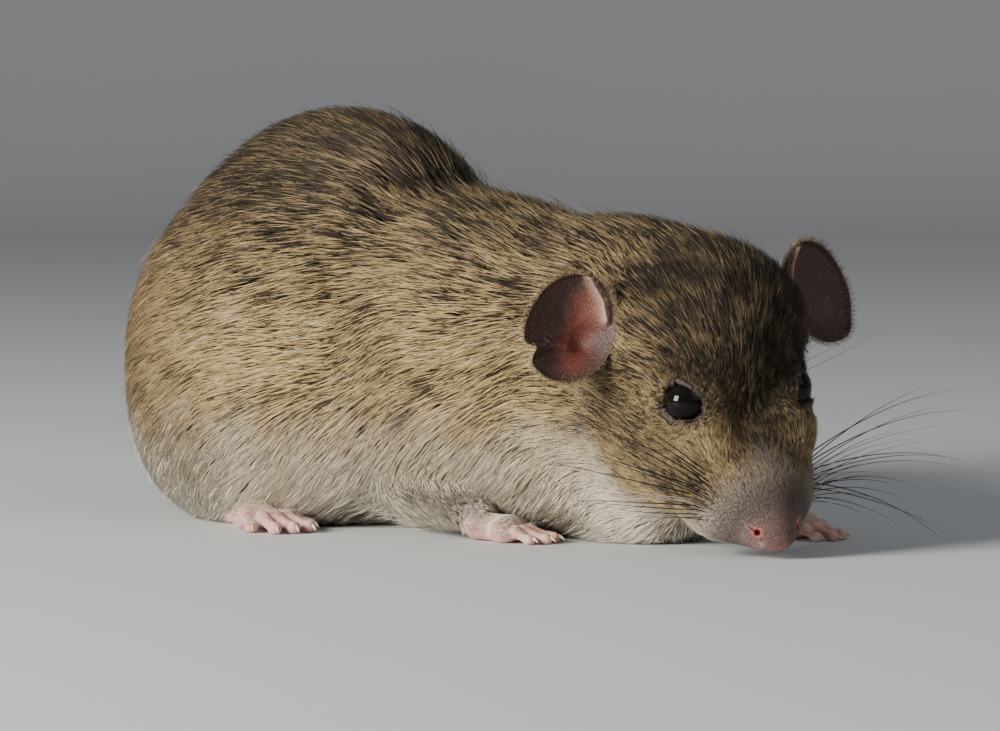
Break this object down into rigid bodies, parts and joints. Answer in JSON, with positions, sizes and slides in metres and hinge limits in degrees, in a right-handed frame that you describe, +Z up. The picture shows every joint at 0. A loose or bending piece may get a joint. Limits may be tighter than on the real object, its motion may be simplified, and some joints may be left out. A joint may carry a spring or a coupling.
{
  "type": "brown rat model",
  "caption": "Life-size still model of a young brown rat, crouched flat on the floor with its head lowered and its tail laid round one flank",
  "frame": {"origin": "middle of the box that the rat covers on the floor, at floor level", "axes": "+X the way the rat faces, along its length; +Y its left; +Z up"},
  "size_m": [0.1394, 0.0898, 0.0676],
  "materials": {
    "coat": "agouti fur, buff and black banded above, cream below",
    "bare_skin": "thin pink skin with fine hair, faint rings on the tail",
    "eye": "wet, glossy black"
  },
  "bodies": {
    "root": {"head": "coat", "muzzle": "coat", "jaw": "coat", "neck": "coat", "chest": "coat", "abdomen": "coat", "foreleg_right": "coat", "foreleg_left": "coat", "hindleg_right": "coat", "hindleg_left": "coat", "ear_right": "bare_skin", "ear_left": "bare_skin", "forefoot_right": "bare_skin", "forefoot_left": "bare_skin", "hindfoot_right": "bare_skin", "hindfoot_left": "bare_skin", "tail_1": "bare_skin", "tail_2": "bare_skin", "tail_3": "bare_skin", "tail_4": "bare_skin", "eye_right": "eye", "eye_left": "eye"}
  },
  "joints": []
}
